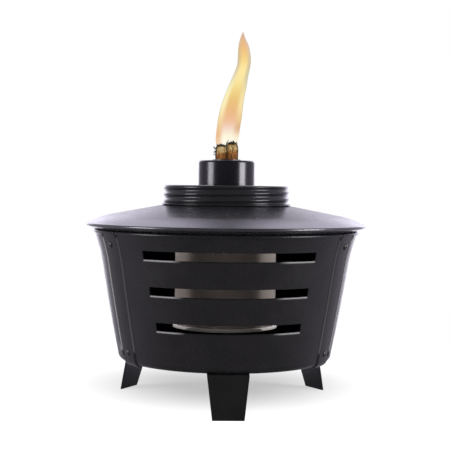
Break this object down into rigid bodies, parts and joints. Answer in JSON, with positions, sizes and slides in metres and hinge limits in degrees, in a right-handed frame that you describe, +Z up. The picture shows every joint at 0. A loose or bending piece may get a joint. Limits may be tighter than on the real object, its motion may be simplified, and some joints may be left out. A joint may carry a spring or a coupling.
{
  "type": "tabletop torch",
  "caption": "Tabletop oil torch: slotted riveted bowl on tapered legs, domed brimmed cover, hanging fuel canister, ringed screw cap and thick braided wick.",
  "frame": {"origin": "on the ground under the bowl's axis", "axes": "+Z up along the bowl's axis, -Y to the front, +X to the right"},
  "size_m": [0.2012, 0.2012, 0.1862],
  "materials": {
    "bowl_enamel": "satin black enamel, faintly warm",
    "cover_enamel": "satin black enamel, smooth",
    "cap_enamel": "satin black enamel over rolled ribs",
    "guard_enamel": "satin black enamel, glossier",
    "leg_paint": "matt black paint",
    "rivet_paint": "black paint, rubbed on the dome",
    "tinplate": "satin lacquered tinplate",
    "tube_steel": "satin steel, browned by heat",
    "gasket_rubber": "oil-proof rubber",
    "wick_fibre": "braided fibre, charred at the top"
  },
  "bodies": {
    "bowl": {"front_panel": "bowl_enamel", "left_rear_panel": "bowl_enamel", "right_rear_panel": "bowl_enamel", "front_left_rivets": "rivet_paint", "front_right_rivets": "rivet_paint", "rear_rivets": "rivet_paint", "floor_plate": "bowl_enamel", "front_leg": "leg_paint", "left_leg": "leg_paint", "right_leg": "leg_paint", "front_leg_rivets": "rivet_paint", "left_leg_rivets": "rivet_paint", "right_leg_rivets": "rivet_paint"},
    "cover": {"cover": "cover_enamel"},
    "canister": {"can_body": "tinplate", "can_base": "tinplate", "can_neck": "tinplate"},
    "gasket": {"cap_gasket": "gasket_rubber"},
    "cap": {"screw_cap": "cap_enamel", "flame_guard": "guard_enamel", "wick_tube": "tube_steel", "tube_washer": "gasket_rubber", "tube_nut": "tube_steel"},
    "wick": {"wick": "wick_fibre"}
  },
  "joints": [
    {"name": "cover_lift", "type": "slide", "parent": "bowl", "child": "cover", "axis": [0, 0, 1], "range_m": [0, 0.1]},
    {"name": "can_lift", "type": "slide", "parent": "cover", "child": "canister", "axis": [0, 0, 1], "range_m": [0, 0.1]},
    {"name": "cap_lift", "type": "slide", "parent": "canister", "child": "gasket", "axis": [0, 0, 1], "range_m": [0, 0.0095]},
    {"name": "cap_turn", "type": "hinge", "parent": "gasket", "child": "cap", "pos_m": [0, 0, 0.152], "axis": [0, 0, 1], "range_deg": [0, 720]},
    {"name": "wick_slide", "type": "slide", "parent": "cap", "child": "wick", "axis": [0, 0, 1], "range_m": [-0.011, 0.02]}
  ],
  "couplings": [
    {"joint": "cap_lift", "follows": "cap_turn", "m_per_rad": 0.00074803}
  ]
}
